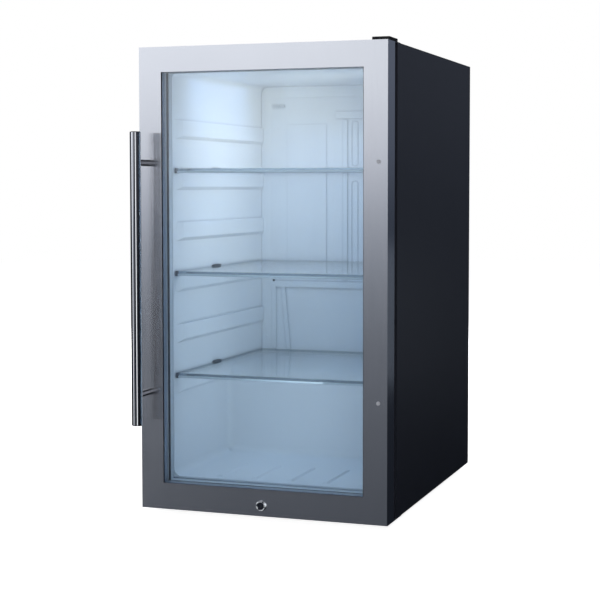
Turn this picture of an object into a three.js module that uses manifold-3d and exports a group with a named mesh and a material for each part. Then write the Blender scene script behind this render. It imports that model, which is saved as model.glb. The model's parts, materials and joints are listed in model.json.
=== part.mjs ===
// Reach-in refrigerator: a 476 mm wide, glass-door, under-counter cooler.
// Units are millimetres. +X is to the right, +Y runs from the door to the back, +Z is up.
// The parts are laid out with y = 0 on the door's front face and z = 0 on the floor.
// The whole cooler is then moved along Y, so that its origin is under the middle of its box.

import * as THREE from 'three';
import { mergeVertices } from 'three/addons/utils/BufferGeometryUtils.js';
import Module from 'manifold-3d';

const wasm = await Module();
wasm.setup();

// ---- Driving dimensions ----

const WIDTH = 476;
const FOOT_HEIGHT = 12;
const DOOR_HEIGHT = 852;
const DOOR_THICKNESS = 43.5;
const SEAL_GAP = 16.5;
const CABINET_DEPTH = 559;
const HANDLE_REACH = 44;
const HANDLE_RADIUS = 10;

const STILE = 44;
const TOP_RAIL = 46;
const BOTTOM_RAIL = 49;

const SHEET = 1.5;
const GAP = 0.3;

const SIDE_INSULATION = 38;
const TOP_INSULATION = 40;
const FLOOR_INSULATION = 50;
const INTERIOR_DEPTH = 481;
const HUMP_FRONT_DEPTH = 268;
const HUMP_TOP = 240;
const LINER_WALL = 1.5;
const LINER_CORNER = 14;

const SHELF_PITCH = 96.6;
const LOWEST_SHELF = 252;
const SHELF_GLASS = 5;
const SHELF_LEVELS = { lower: 0, middle: 2, upper: 4 };
const BAND_COUNT = { left: 6, right: 5 };

// ---- Values that follow from them ----

const HALF = WIDTH / 2;
const BASE = FOOT_HEIGHT;
const TOP = FOOT_HEIGHT + DOOR_HEIGHT;
const CABINET_FRONT = DOOR_THICKNESS + SEAL_GAP;
const CABINET_BACK = CABINET_FRONT + CABINET_DEPTH;
const FRONT_TO_CENTRE = (CABINET_BACK - HANDLE_REACH - HANDLE_RADIUS) / 2;

const WINDOW = {
  half: HALF - STILE,
  low: BASE + BOTTOM_RAIL,
  high: TOP - TOP_RAIL,
};

const ROOM = {
  half: HALF - SIDE_INSULATION,
  floor: BASE + FLOOR_INSULATION,
  ceiling: TOP - TOP_INSULATION,
  back: CABINET_FRONT + INTERIOR_DEPTH,
  humpFront: CABINET_FRONT + HUMP_FRONT_DEPTH,
};

const BAY = { front: ROOM.humpFront + 24, top: HUMP_TOP - 24 };
const BACK_PANEL_Y = CABINET_BACK - 19;
const HINGE = { x: HALF - 14, y: 22, pin: 4, bush: 7 };
const LOCK = { z: BASE + 19, plug: 6, barrel: 8.2, flange: 9.5 };
const HANDLE = {
  x: -(HALF - 13),
  middle: BASE + 429,
  halfLength: 268,
  postSpread: 212,
  postRadius: 6,
  chamfer: 1.2,
};

// ---- Materials ----

function finish(color, roughness, metalness, extra = {}) {
  return new THREE.MeshStandardMaterial({ color, roughness, metalness, ...extra });
}

const CLEAR = { transparent: true, opacity: 0.35 };

const paint = {
  brushedSteel: () => finish(0x9ea3ad, 0.35, 1),
  handleSteel: () => finish(0xa9adb6, 0.25, 1),
  blackPaint: () => finish(0x1b1c22, 0.45, 0.2),
  darkPlastic: () => finish(0x17181c, 0.55, 0),
  frameGrey: () => finish(0xb9c4ce, 0.5, 0),
  whitePlastic: () => finish(0xe8edf2, 0.4, 0),
  sealGrey: () => finish(0xa3abb3, 0.8, 0),
  blackRubber: () => finish(0x141416, 0.8, 0),
  glass: () => finish(0xcfe2ee, 0.05, 0, CLEAR),
  spacerGrey: () => finish(0x67788a, 0.5, 0.3),
  chrome: () => finish(0xd5d8dd, 0.12, 1),
  aluminium: () => finish(0xb4b8bd, 0.4, 1),
  zincSteel: () => finish(0x8c9096, 0.5, 0.9),
  foam: () => finish(0xe6d9a8, 0.9, 0),
  nylon: () => finish(0xe9e7df, 0.5, 0),
};

// ---- Shape helpers ----

const cooler = new THREE.Group();
cooler.position.y = -FRONT_TO_CENTRE;

function toSolid(geometry) {
  const bare = geometry.clone();
  bare.deleteAttribute('normal');
  bare.deleteAttribute('uv');
  const merged = mergeVertices(bare, 1e-4);
  const vertProperties = new Float32Array(merged.attributes.position.array);
  const triVerts = new Uint32Array(merged.index.array);
  return new wasm.Manifold(new wasm.Mesh({ numProp: 3, vertProperties, triVerts }));
}

function toGeometry(solid) {
  const mesh = solid.getMesh();
  const geometry = new THREE.BufferGeometry();
  geometry.setAttribute('position', new THREE.BufferAttribute(mesh.vertProperties, 3));
  geometry.setIndex(new THREE.BufferAttribute(mesh.triVerts, 1));
  geometry.computeVertexNormals();
  return geometry;
}

function addPart(name, shape, material) {
  const geometry = shape.isBufferGeometry ? shape : toGeometry(shape);
  const mesh = new THREE.Mesh(geometry, material());
  mesh.name = name;
  cooler.add(mesh);
  return mesh;
}

function join(first, ...others) {
  return others.reduce((sum, other) => sum.add(other), first);
}

function cut(body, ...tools) {
  return tools.reduce((rest, tool) => rest.subtract(tool), body);
}

// A box between two coordinates on each axis.
function boxGeometry([x0, x1], [y0, y1], [z0, z1]) {
  const box = new THREE.BoxGeometry(x1 - x0, y1 - y0, z1 - z0);
  return box.translate((x0 + x1) / 2, (y0 + y1) / 2, (z0 + z1) / 2);
}

function block(xs, ys, zs) {
  return toSolid(boxGeometry(xs, ys, zs));
}

// The same box on the left (side = -1) or on the right (side = 1), from x0 out to x1.
function sideBlock(side, [x0, x1], ys, zs) {
  return block(side > 0 ? [x0, x1] : [-x1, -x0], ys, zs);
}

// A pad that tapers from its foot to its face, each given as ranges on the three axes.
function taperedPad(foot, face) {
  const corners = [];
  [foot, face].forEach(({ xs, ys, zs }) => {
    xs.forEach((x) => ys.forEach((y) => zs.forEach((z) => corners.push([x, y, z]))));
  });
  return wasm.Manifold.hull(corners);
}

// An upright rectangular ring, round an opening, between two depths.
function ring(outer, inner, [y0, y1]) {
  const body = block([-outer.half, outer.half], [y0, y1], [outer.low, outer.high]);
  const hole = block([-inner.half, inner.half], [y0 - 1, y1 + 1], [inner.low, inner.high]);
  return cut(body, hole);
}

function grow(frame, amount) {
  return { half: frame.half + amount, low: frame.low - amount, high: frame.high + amount };
}

function rodZ(radius, x, y, [z0, z1], sides = 32) {
  const rod = new THREE.CylinderGeometry(radius, radius, z1 - z0, sides).rotateX(Math.PI / 2);
  return toSolid(rod.translate(x, y, (z0 + z1) / 2));
}

function rodY(radius, x, z, [y0, y1], sides = 32) {
  const rod = new THREE.CylinderGeometry(radius, radius, y1 - y0, sides);
  return toSolid(rod.translate(x, (y0 + y1) / 2, z));
}

function rodX(radius, y, z, [x0, x1], sides = 32) {
  const rod = new THREE.CylinderGeometry(radius, radius, x1 - x0, sides).rotateZ(-Math.PI / 2);
  return toSolid(rod.translate((x0 + x1) / 2, y, z));
}

// A body turned about the Z axis, from [radius, height] points that start and end on the axis.
function turnedZ(profile, x, y, segments = 40) {
  const points = profile.map(([radius, height]) => new THREE.Vector2(radius, height));
  const lathe = new THREE.LatheGeometry(points, segments).rotateX(Math.PI / 2);
  return toSolid(lathe.translate(x, y, 0));
}

// An outline of [u, v, radius] corners, where each radius rounds its corner.
function roundedOutline(corners) {
  const shape = new THREE.Shape();
  corners.forEach(([u, v, radius = 0], index) => {
    const corner = new THREE.Vector2(u, v);
    const before = new THREE.Vector2(...corners.at(index - 1));
    const after = new THREE.Vector2(...corners[(index + 1) % corners.length]);
    const entry = before.sub(corner).setLength(radius).add(corner);
    const exit = after.sub(corner).setLength(radius).add(corner);
    if (index === 0) shape.moveTo(entry.x, entry.y);
    else shape.lineTo(entry.x, entry.y);
    if (radius > 0) shape.quadraticCurveTo(u, v, exit.x, exit.y);
  });
  shape.closePath();
  return shape;
}

const EXTRUDE = { bevelEnabled: false, curveSegments: 6 };
const PROFILE_TO_X = new THREE.Matrix4().makeBasis(
  new THREE.Vector3(0, 1, 0),
  new THREE.Vector3(0, 0, 1),
  new THREE.Vector3(1, 0, 0),
);
const PROFILE_TO_Y = new THREE.Matrix4().makeBasis(
  new THREE.Vector3(1, 0, 0),
  new THREE.Vector3(0, 0, 1),
  new THREE.Vector3(0, -1, 0),
);

// A (y, z) outline stretched from x0 to x1.
function alongX(corners, [x0, x1]) {
  const depth = x1 - x0;
  const geometry = new THREE.ExtrudeGeometry(roundedOutline(corners), { ...EXTRUDE, depth });
  return toSolid(geometry.applyMatrix4(PROFILE_TO_X).translate(x0, 0, 0));
}

// An (x, z) outline stretched from y0 to y1.
function alongY(corners, [y0, y1]) {
  const depth = y1 - y0;
  const geometry = new THREE.ExtrudeGeometry(roundedOutline(corners), { ...EXTRUDE, depth });
  return toSolid(geometry.applyMatrix4(PROFILE_TO_Y).translate(0, y1, 0));
}

// An (x, y) outline stretched from z0 to z1.
function alongZ(corners, [z0, z1]) {
  const depth = z1 - z0;
  const geometry = new THREE.ExtrudeGeometry(roundedOutline(corners), { ...EXTRUDE, depth });
  return toSolid(geometry.translate(0, 0, z0));
}

// A solid round tube that follows a curve.
function pipe(curve, radius, steps) {
  const section = new THREE.Shape().absarc(0, 0, radius, 0, Math.PI * 2);
  const options = { steps, extrudePath: curve, bevelEnabled: false, curveSegments: 4 };
  return toSolid(new THREE.ExtrudeGeometry(section, options));
}

// Level tube runs one above the other, joined by U bends at alternate ends.
function serpentine({ halfSpan, y, low, pitch, runs, radius }) {
  const bendReach = (pitch * 2) / 3;
  const pieces = [];
  for (let run = 0; run < runs; run += 1) {
    const z = low + run * pitch;
    pieces.push(rodX(radius, y, z, [-halfSpan - GAP, halfSpan + GAP], 8));
    if (run === runs - 1) break;
    const side = run % 2 === 0 ? 1 : -1;
    const bend = new THREE.CubicBezierCurve3(
      new THREE.Vector3(side * halfSpan, y, z),
      new THREE.Vector3(side * (halfSpan + bendReach), y, z),
      new THREE.Vector3(side * (halfSpan + bendReach), y, z + pitch),
      new THREE.Vector3(side * halfSpan, y, z + pitch),
    );
    pieces.push(pipe(bend, radius, 6));
  }
  return join(...pieces);
}

// ---- Door ----

const GLASS_EDGE = grow(WINDOW, 10);
const GLAZING = { outer: [2.2, 6.2], spacer: [6.5, 18.5], inner: [18.8, 22.8], rebate: 23.1 };
const DOOR_OUTLINE = { half: HALF, low: BASE, high: TOP };
const PLUG = { x: HALF - 16.6, hole: 2.7 };

function hingeBores() {
  const radius = HINGE.bush + GAP;
  const bore = (zs) => rodZ(radius, HINGE.x, HINGE.y, zs);
  return [bore([BASE - 1, BASE + 16.5]), bore([TOP - 16.5, TOP + 1])];
}

function postHeights() {
  return [HANDLE.middle - HANDLE.postSpread, HANDLE.middle + HANDLE.postSpread];
}

function faceBores(lockRadius, depth) {
  const lock = rodY(lockRadius, 0, LOCK.z, [-1, DOOR_THICKNESS + 1]);
  const plugs = postHeights().map((z) => rodY(PLUG.hole, PLUG.x, z, [-1, depth], 16));
  return [lock, ...plugs];
}

function buildDoorFrame() {
  const shell = block([-HALF, HALF], [0, DOOR_THICKNESS], [BASE, TOP]);
  const { half, low, high } = grow(DOOR_OUTLINE, -SHEET);
  const hollow = block([-half, half], [SHEET, DOOR_THICKNESS + 1], [low, high]);
  const opening = block([-WINDOW.half, WINDOW.half], [-1, SHEET + 1], [WINDOW.low, WINDOW.high]);
  const bores = [...hingeBores(), ...faceBores(LOCK.barrel + 0.4, 8)];
  addPart('door_skin', cut(shell, hollow, opening, ...bores), paint.brushedSteel);

  const coreDepth = [SHEET + GAP, DOOR_THICKNESS - GAP];
  const body = ring(grow(DOOR_OUTLINE, -SHEET - GAP), WINDOW, coreDepth);
  const rebate = block(
    [-GLASS_EDGE.half - 0.5, GLASS_EDGE.half + 0.5],
    [0, GLAZING.rebate],
    [GLASS_EDGE.low - 0.5, GLASS_EDGE.high + 0.5],
  );
  addPart('door_core', cut(body, rebate, ...bores), paint.frameGrey);
}

function buildGlazing() {
  const xs = [-GLASS_EDGE.half, GLASS_EDGE.half];
  const zs = [GLASS_EDGE.low, GLASS_EDGE.high];
  addPart('outer_glass', boxGeometry(xs, GLAZING.outer, zs), paint.glass);
  addPart('inner_glass', boxGeometry(xs, GLAZING.inner, zs), paint.glass);
  const spacer = ring(grow(GLASS_EDGE, -GAP), grow(WINDOW, 0.5), GLAZING.spacer);
  addPart('glass_spacer', spacer, paint.spacerGrey);
}

// The seal is a wide foot, a narrow bellows and a magnet strip, all round the door's back.
// It steps up over the lock, whose cam swings below it.
function buildGasket() {
  const outer = { half: HINGE.x - 2, low: BASE + 4, high: TOP - 4 };
  const inner = { half: ROOM.half + 4, low: ROOM.floor - 4, high: ROOM.ceiling + 4 };
  const layer = (inset, ys) => ring(grow(outer, -inset), grow(inner, inset), ys);
  const foot = layer(0, [DOOR_THICKNESS + GAP, 49]);
  const bellows = layer(3, [48.5, 54.5]);
  const magnet = layer(1.5, [54, CABINET_FRONT - GAP]);
  const lockNotch = block([-26, 26], [DOOR_THICKNESS, CABINET_FRONT], [BASE, BASE + 31]);
  addPart('door_gasket', cut(join(foot, bellows, magnet), lockNotch), paint.sealGrey);
}

function buildHandle() {
  const end = HANDLE.halfLength;
  const shoulder = end - HANDLE.chamfer;
  const neck = HANDLE_RADIUS - HANDLE.chamfer;
  const low = HANDLE.middle - end;
  const high = HANDLE.middle + end;
  const profile = [
    [0, low], [neck, low], [HANDLE_RADIUS, HANDLE.middle - shoulder],
    [HANDLE_RADIUS, HANDLE.middle + shoulder], [neck, high], [0, high],
  ];
  addPart('handle_bar', turnedZ(profile, HANDLE.x, -HANDLE_REACH, 48), paint.handleSteel);

  const barSpace = rodZ(HANDLE_RADIUS + GAP, HANDLE.x, -HANDLE_REACH, [low, high], 48);
  postHeights().forEach((z, index) => {
    const post = rodY(HANDLE.postRadius, HANDLE.x, z, [2 - HANDLE_REACH, -GAP]);
    const name = ['handle_post_lower', 'handle_post_upper'][index];
    addPart(name, cut(post, barSpace), paint.handleSteel);
  });
}

function buildHolePlugs() {
  postHeights().forEach((z, index) => {
    const head = rodY(3.6, PLUG.x, z, [-1.4, -GAP], 24);
    const stem = rodY(PLUG.hole - GAP, PLUG.x, z, [-0.5, 6.5], 16);
    addPart(['hole_plug_lower', 'hole_plug_upper'][index], join(head, stem), paint.chrome);
  });
}

// A cam lock: the key turns the plug, and the cam on its end swings down behind the strike.
function buildLock() {
  const flange = rodY(LOCK.flange, 0, LOCK.z, [-2.4, -GAP], 40);
  const barrel = rodY(LOCK.barrel, 0, LOCK.z, [-0.5, 44.2], 40);
  const bore = rodY(LOCK.plug + GAP, 0, LOCK.z, [-3, 45], 40);
  addPart('lock_housing', cut(join(flange, barrel), bore), paint.chrome);

  const plug = rodY(LOCK.plug, 0, LOCK.z, [-1.9, 47.2], 40);
  const keyway = block([-0.9, 0.9], [-3, 4], [LOCK.z - 3.6, LOCK.z + 3.6]);
  addPart('lock_plug', cut(plug, keyway), paint.chrome);

  const camDepth = [47.5, 50];
  const hub = rodY(7, 0, LOCK.z, camDepth, 24);
  const arm = block([-18, 0], camDepth, [LOCK.z - 5, LOCK.z + 5]);
  addPart('lock_cam', join(hub, arm), paint.zincSteel);

  const foot = block([-8, 8], [44.8, 100], [BASE - 1.8, BASE - GAP]);
  const tab = block([-8, 8], [44.8, 46.3], [BASE - 1.8, BASE + 8]);
  addPart('lock_strike', join(foot, tab), paint.zincSteel);
}

function buildHinges() {
  const bushHole = (zs) => rodZ(HINGE.pin + GAP, HINGE.x, HINGE.y, zs);
  const bush = (zs) => cut(rodZ(HINGE.bush, HINGE.x, HINGE.y, zs), bushHole([zs[0] - 1, zs[1] + 1]));
  addPart('top_bush', bush([TOP - 16, TOP - 0.2]), paint.nylon);
  addPart('bottom_bush', bush([BASE + 0.2, BASE + 16]), paint.nylon);

  const plateX = [HALF - 29, HALF - 3];
  const topArm = block(plateX, [11, CABINET_FRONT - 1], [TOP + GAP, TOP + 3.3]);
  const topLeaf = block(plateX, [CABINET_FRONT - 2, 88], [TOP + GAP, TOP + 1.8]);
  const topPin = rodZ(HINGE.pin, HINGE.x, HINGE.y, [TOP - 14, TOP + 4.2]);
  addPart('top_hinge', join(topArm, topLeaf, topPin), paint.zincSteel);

  const bottomPlate = block(plateX, [14, 104], [BASE - 3.3, BASE - GAP]);
  const bottomPin = rodZ(HINGE.pin, HINGE.x, HINGE.y, [BASE - 3.3, BASE + 14]);
  addPart('bottom_hinge', join(bottomPlate, bottomPin), paint.zincSteel);
}

// A thin cap over the hinge arm, open below and behind.
function buildHingeCover() {
  const wall = 1.2;
  const high = TOP + 6;
  const outline = (inset, low, back) => [
    [7 + inset, low],
    [back, low],
    [back, high - inset],
    [7 + inset, high - inset, 2],
  ];
  const outside = alongX(outline(0, TOP + GAP, CABINET_FRONT), [HALF - 31, HALF]);
  const insideX = [HALF - 31 + wall, HALF - wall];
  const inside = alongX(outline(wall, TOP - 1, CABINET_FRONT + 1), insideX);
  addPart('hinge_cover', cut(outside, inside), paint.darkPlastic);
}

// ---- Cabinet ----

const PANEL_FRONT = CABINET_FRONT + SHEET + GAP;
const FOAM = {
  front: PANEL_FRONT,
  back: BACK_PANEL_Y - GAP,
  low: BASE + 2.3,
  high: TOP - SHEET - GAP,
  half: HALF - SHEET - GAP,
};

function buildShell() {
  const outer = { half: HALF, low: BASE, high: TOP };
  const mouth = { half: ROOM.half + 2, low: ROOM.floor - 2, high: ROOM.ceiling + 2 };
  addPart('face_frame', ring(outer, mouth, [CABINET_FRONT, CABINET_FRONT + SHEET]), paint.blackPaint);

  const depth = [PANEL_FRONT, CABINET_BACK];
  const inner = [-FOAM.half, FOAM.half];
  addPart('left_side_panel', boxGeometry([-HALF, -HALF + SHEET], depth, [BASE, TOP]), paint.blackPaint);
  addPart('right_side_panel', boxGeometry([HALF - SHEET, HALF], depth, [BASE, TOP]), paint.blackPaint);
  addPart('top_panel', boxGeometry(inner, depth, [TOP - SHEET, TOP]), paint.blackPaint);
  const backDepth = [BACK_PANEL_Y, BACK_PANEL_Y + 1.2];
  addPart('back_panel', boxGeometry(inner, backDepth, [BAY.top + 1, FOAM.high]), paint.blackPaint);

  const plate = block(inner, depth, [BASE, BASE + 2]);
  const studHoles = footPlaces().map(({ x, y }) => rodZ(4.4, x, y, [BASE - 1, BASE + 3], 24));
  addPart('base_plate', cut(plate, ...studHoles), paint.zincSteel);
}

function buildInsulation() {
  const bayOutline = [
    [FOAM.front, FOAM.low],
    [BAY.front - GAP, FOAM.low],
    [BAY.front - GAP, BAY.top],
    [FOAM.back, BAY.top],
    [FOAM.back, FOAM.high],
    [FOAM.front, FOAM.high],
  ];
  const inner = ROOM.half + LINER_WALL + GAP;
  addPart('foam_left', alongX(bayOutline, [-FOAM.half, -inner]), paint.foam);
  addPart('foam_right', alongX(bayOutline, [inner, FOAM.half]), paint.foam);

  const skin = LINER_WALL + GAP;
  const roomOutline = [
    [FOAM.front, ROOM.ceiling + skin],
    [ROOM.back + skin, ROOM.ceiling + skin],
    [ROOM.back + skin, HUMP_TOP - skin],
    [ROOM.humpFront + skin, HUMP_TOP - skin, LINER_CORNER],
    [ROOM.humpFront + skin, ROOM.floor - skin],
    [FOAM.front, ROOM.floor - skin],
  ];
  const middle = [-inner + GAP, inner - GAP];
  addPart('foam_middle', alongX([...bayOutline, ...roomOutline], middle), paint.foam);
}

// The space inside the liner, or its outer surface when offset by the wall thickness.
function roomSolid(offset) {
  const half = ROOM.half + offset;
  const mouth = offset > 0 ? CABINET_FRONT : CABINET_FRONT - 5;
  const radius = LINER_CORNER + offset;
  const plan = (back) => [[-half, mouth], [half, mouth], [half, back, radius], [-half, back, radius]];
  const floor = ROOM.floor - offset;
  const ceiling = ROOM.ceiling + offset;
  const upper = alongZ(plan(ROOM.back + offset), [HUMP_TOP - LINER_CORNER, ceiling]);
  const lower = alongZ(plan(ROOM.humpFront + offset), [floor, HUMP_TOP + LINER_CORNER]);
  const outline = [
    [mouth, floor],
    [ROOM.humpFront + offset, floor, radius],
    [ROOM.humpFront + offset, HUMP_TOP - offset, LINER_CORNER - offset],
    [ROOM.back + offset, HUMP_TOP - offset, radius],
    [ROOM.back + offset, ceiling, radius],
    [mouth, ceiling],
  ];
  const front = [
    [-half, floor, radius],
    [half, floor, radius],
    [half, ceiling, radius],
    [-half, ceiling, radius],
  ];
  const mouthToBack = [mouth, ROOM.back + offset];
  return upper.add(lower).intersect(alongX(outline, [-half, half])).intersect(alongY(front, mouthToBack));
}

function shelfBottom(level) {
  return LOWEST_SHELF + level * SHELF_PITCH;
}

// Raised bands on both side walls carry the shelves. Each has a level top, and fades into the
// wall at its front, its back and its bottom. The control box takes the highest place on the right.
function shelfBands() {
  const bands = [];
  Object.entries(BAND_COUNT).forEach(([wall, count]) => {
    const side = wall === 'left' ? -1 : 1;
    for (let level = 0; level < count; level += 1) {
      const high = shelfBottom(level) - GAP;
      const foot = { xs: [side * (ROOM.half + 0.5)], ys: [72, 538], zs: [high - 36, high] };
      const face = { xs: [side * (ROOM.half - 5)], ys: [98, 516], zs: [high - 29, high] };
      bands.push(taperedPad(foot, face));
    }
  });
  return bands;
}

function floorRibs() {
  const ribs = [];
  for (let x = -115; x <= 165; x += 70) {
    const foot = { xs: [x - 8, x + 8], ys: [74, 216], zs: [ROOM.floor - 1] };
    const face = { xs: [x - 3, x + 3], ys: [84, 206], zs: [ROOM.floor + 3] };
    ribs.push(taperedPad(foot, face));
  }
  return ribs;
}

function buildLiner() {
  const space = cut(roomSolid(0), ...shelfBands(), ...floorRibs());
  addPart('liner', cut(roomSolid(LINER_WALL), space), paint.whitePlastic);
}

function buildBayBulkhead() {
  const sheet = 1.2;
  const outline = [
    [BAY.front, FOAM.low],
    [BAY.front + sheet, FOAM.low],
    [BAY.front + sheet, BAY.top - GAP - sheet],
    [FOAM.back, BAY.top - GAP - sheet],
    [FOAM.back, BAY.top - GAP],
    [BAY.front, BAY.top - GAP],
  ];
  addPart('bay_bulkhead', alongX(outline, [-FOAM.half, FOAM.half]), paint.zincSteel);
}

function footPlaces() {
  const places = [];
  [['front', 96], ['rear', 586]].forEach(([end, y]) => {
    places.push({ name: `foot_${end}_left`, x: -185, y });
    places.push({ name: `foot_${end}_right`, x: 185, y });
  });
  return places;
}

function buildFeet() {
  const stud = BASE + 1.8;
  const profile = [
    [0, 0], [16, 0], [18, 1.5], [18, 6], [15, 8.5], [4, 8.5], [4, stud], [0, stud],
  ];
  footPlaces().forEach(({ name, x, y }) => {
    addPart(name, turnedZ(profile, x, y, 24), paint.darkPlastic);
  });
}

// ---- Shelves ----

const SHELF = { half: ROOM.half - 1.7, front: 66, lipBack: 80, glassFront: 74, back: 509 };
const CLIP = { ys: [241, 279], depth: 6, height: 3, slope: 6 };

// An angle: its ledge carries the glass, and its upright face ends in a bead with a sloping top.
function shelfTrimOutline(low, high) {
  const { front, lipBack, glassFront } = SHELF;
  return [
    [front + 1, low - 3.5],
    [lipBack, low - 3.5],
    [lipBack, low - GAP],
    [glassFront - GAP, low - GAP],
    [glassFront - GAP, high],
    [front + 2, high],
    [front + 2, low + 0.5],
    [front, low - 1.5],
    [front, low - 2.5],
  ];
}

function buildShelf(place, level) {
  const low = shelfBottom(level);
  const high = low + SHELF_GLASS;
  const xs = [-SHELF.half, SHELF.half];
  const pane = boxGeometry(xs, [SHELF.glassFront, SHELF.back], [low, high]);
  addPart(`shelf_glass_${place}`, pane, paint.glass);

  addPart(`shelf_trim_${place}`, alongX(shelfTrimOutline(low, high), xs), paint.chrome);

  buildClips(place, high + 0.4);
}

// A dark clip on each side wall holds the shelf down at mid depth.
function buildClips(place, clipLow) {
  const [clipFront, clipBack] = CLIP.ys;
  const clipHigh = clipLow + CLIP.height;
  const clipOutline = [
    [clipFront, clipLow],
    [clipBack, clipLow],
    [clipBack - CLIP.slope, clipHigh, 2],
    [clipFront + CLIP.slope, clipHigh, 2],
  ];
  const clipRanges = {
    left: [GAP - ROOM.half, CLIP.depth - ROOM.half],
    right: [ROOM.half - CLIP.depth, ROOM.half - GAP],
  };
  Object.entries(clipRanges).forEach(([side, range]) => {
    addPart(`shelf_clip_${place}_${side}`, alongX(clipOutline, range), paint.darkPlastic);
  });
}

// ---- Air circulation ----

const COVER = {
  half: 178,
  front: 517,
  rim: 537,
  low: 252,
  high: 800,
  wall: 2,
  flare: 17,
  proud: 3.4,
  relief: 1.4,
};
const FAN = { x: 95, z: 712, half: 40, bore: 37, hub: 15, front: 523, back: 538 };

// Upright slots in front of the fan, on the right half of the cover.
function airSlots() {
  const slots = [];
  const count = 5;
  const pitch = 14;
  for (let index = 0; index < count; index += 1) {
    const x = FAN.x + (index - (count - 1) / 2) * pitch;
    const [x0, x1] = [x - 3, x + 3];
    const [low, high] = [FAN.z - 32, FAN.z + 32];
    slots.push(alongY([[x0, low, 2.8], [x1, low, 2.8], [x1, high, 2.8], [x0, high, 2.8]], [510, 525]));
  }
  return slots;
}

// A long pocket with round ends, and a plain raised bar left standing along its middle.
function pocket([x0, x1], [low, high]) {
  const groove = 2.6;
  const depth = [COVER.front - 1, COVER.front + COVER.relief];
  const pill = (inset) => {
    const [left, right] = [x0 + inset, x1 - inset];
    const radius = (right - left) / 2 - 0.2;
    return [
      [left, low + inset, radius],
      [right, low + inset, radius],
      [right, high - inset, radius],
      [left, high - inset, radius],
    ];
  };
  return cut(alongY(pill(0), depth), alongY(pill(groove), [COVER.front - 2, COVER.front + 3]));
}

function coverRibs() {
  const proud = [COVER.front - COVER.proud, COVER.front + 0.5];
  const panel = [COVER.front - COVER.relief, COVER.front + 0.5];
  const [bandLow, bandHigh] = [392, 405];
  const foot = COVER.low + 6;
  const ribs = [
    block([-30, 134], proud, [754, 768]),
    block([-12.5, -3.5], proud, [bandHigh + 5, 750]),
    block([-COVER.half, COVER.half], proud, [bandLow, bandHigh]),
  ];
  [-1, 1].forEach((side) => {
    const slant = [[154, bandLow + 1], [146, bandLow + 1], [134, foot], [142, foot]];
    const corners = side > 0 ? slant.reverse() : slant.map(([x, z]) => [-x, z]);
    ribs.push(
      sideBlock(side, [51, 140], panel, [425, 742]),
      sideBlock(side, [167, 176], proud, [foot, bandLow + 1]),
      alongY(corners, proud),
    );
  });
  return ribs;
}

// A shallow tray, whose sides and top flare out towards the wall behind it.
function coverTray(inset, [y0, y1]) {
  const low = COVER.low + inset;
  const outline = (growth) => {
    const half = COVER.half + growth;
    const high = COVER.high + growth;
    return [[-half, low, 8], [half, low, 8], [half, high, 8], [-half, high, 8]];
  };
  const face = alongY(outline(-inset), [y0, y0 + 0.1]);
  const rim = alongY(outline(COVER.flare - inset), [y1 - 0.1, y1]);
  return wasm.Manifold.hull([face, rim]);
}

function buildEvaporatorCover() {
  const outside = coverTray(0, [COVER.front, COVER.rim]);
  const hollow = coverTray(COVER.wall, [COVER.front + COVER.wall, COVER.rim + 0.5]);
  const pockets = [pocket([5.5, 21.5], [652, 749]), pocket([5.5, 21.5], [425, 622])];
  const tray = cut(join(outside, ...coverRibs()), hollow);
  addPart('evaporator_cover', cut(tray, ...airSlots(), ...pockets), paint.whitePlastic);
}

function buildEvaporatorCoil() {
  const tubes = serpentine({ halfSpan: 130, y: 530, low: 290, pitch: 60, runs: 6, radius: 4 });
  const fins = [];
  for (let x = -120; x <= 120; x += 48) {
    fins.push(block([x - 0.4, x + 0.4], [521, 539], [275, 605]));
  }
  addPart('evaporator_coil', join(tubes, ...fins), paint.aluminium);
}

function buildFan() {
  const { x, z, half } = FAN;
  const frame = block([x - half, x + half], [FAN.front, FAN.back], [z - half, z + half]);
  const bore = rodY(FAN.bore, x, z, [FAN.front - 1, FAN.back + 1], 40);
  const motor = rodY(FAN.hub, x, z, [FAN.back - 5, FAN.back], 32);
  const arms = [FAN.back - 3, FAN.back];
  const across = block([x - half + 1, x + half - 1], arms, [z - 3, z + 3]);
  const upright = block([x - 3, x + 3], arms, [z - half + 1, z + half - 1]);
  addPart('fan_frame', join(cut(frame, bore), motor, across, upright), paint.darkPlastic);

  const hub = rodY(FAN.hub, x, z, [FAN.front + 1, FAN.back - 5.3], 32);
  const blades = [];
  const bladeCount = 7;
  for (let index = 0; index < bladeCount; index += 1) {
    const blade = new THREE.BoxGeometry(23, 1.2, 11);
    blade.rotateX(Math.PI / 6).translate(23.5, FAN.front + 5.4, 0);
    blade.rotateY((index * Math.PI * 2) / bladeCount).translate(x, 0, z);
    blades.push(toSolid(blade));
  }
  addPart('fan_rotor', join(hub, ...blades), paint.darkPlastic);
}

// ---- Controls, on the right-hand wall near the top ----

const CONTROL = { face: 172, ys: [110, 235], zs: [706, 812], knobY: 140, knobZ: 775, switchZ: 730 };

function buildControlBox() {
  const wall = ROOM.half - GAP;
  const outside = block([CONTROL.face, wall], CONTROL.ys, CONTROL.zs);
  const inside = block(
    [CONTROL.face + 8, wall + 1],
    [CONTROL.ys[0] + 2, CONTROL.ys[1] - 2],
    [CONTROL.zs[0] + 2, CONTROL.zs[1] - 2],
  );
  const shaftHole = rodX(3.4, CONTROL.knobY, CONTROL.knobZ, [CONTROL.face - 1, wall]);
  const pocketY = [CONTROL.knobY - 6.8, CONTROL.knobY + 6.8];
  const pocketZ = [CONTROL.switchZ - 11.5, CONTROL.switchZ + 11.5];
  const pocket = block([CONTROL.face - 1, CONTROL.face + 7], pocketY, pocketZ);
  addPart('control_box', cut(outside, inside, shaftHole, pocket), paint.whitePlastic);
  const lensY = [176, 229];
  const lensZ = [714, 804];
  addPart('lamp_lens', boxGeometry([CONTROL.face - 6, CONTROL.face - GAP], lensY, lensZ), paint.glass);
}

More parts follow.
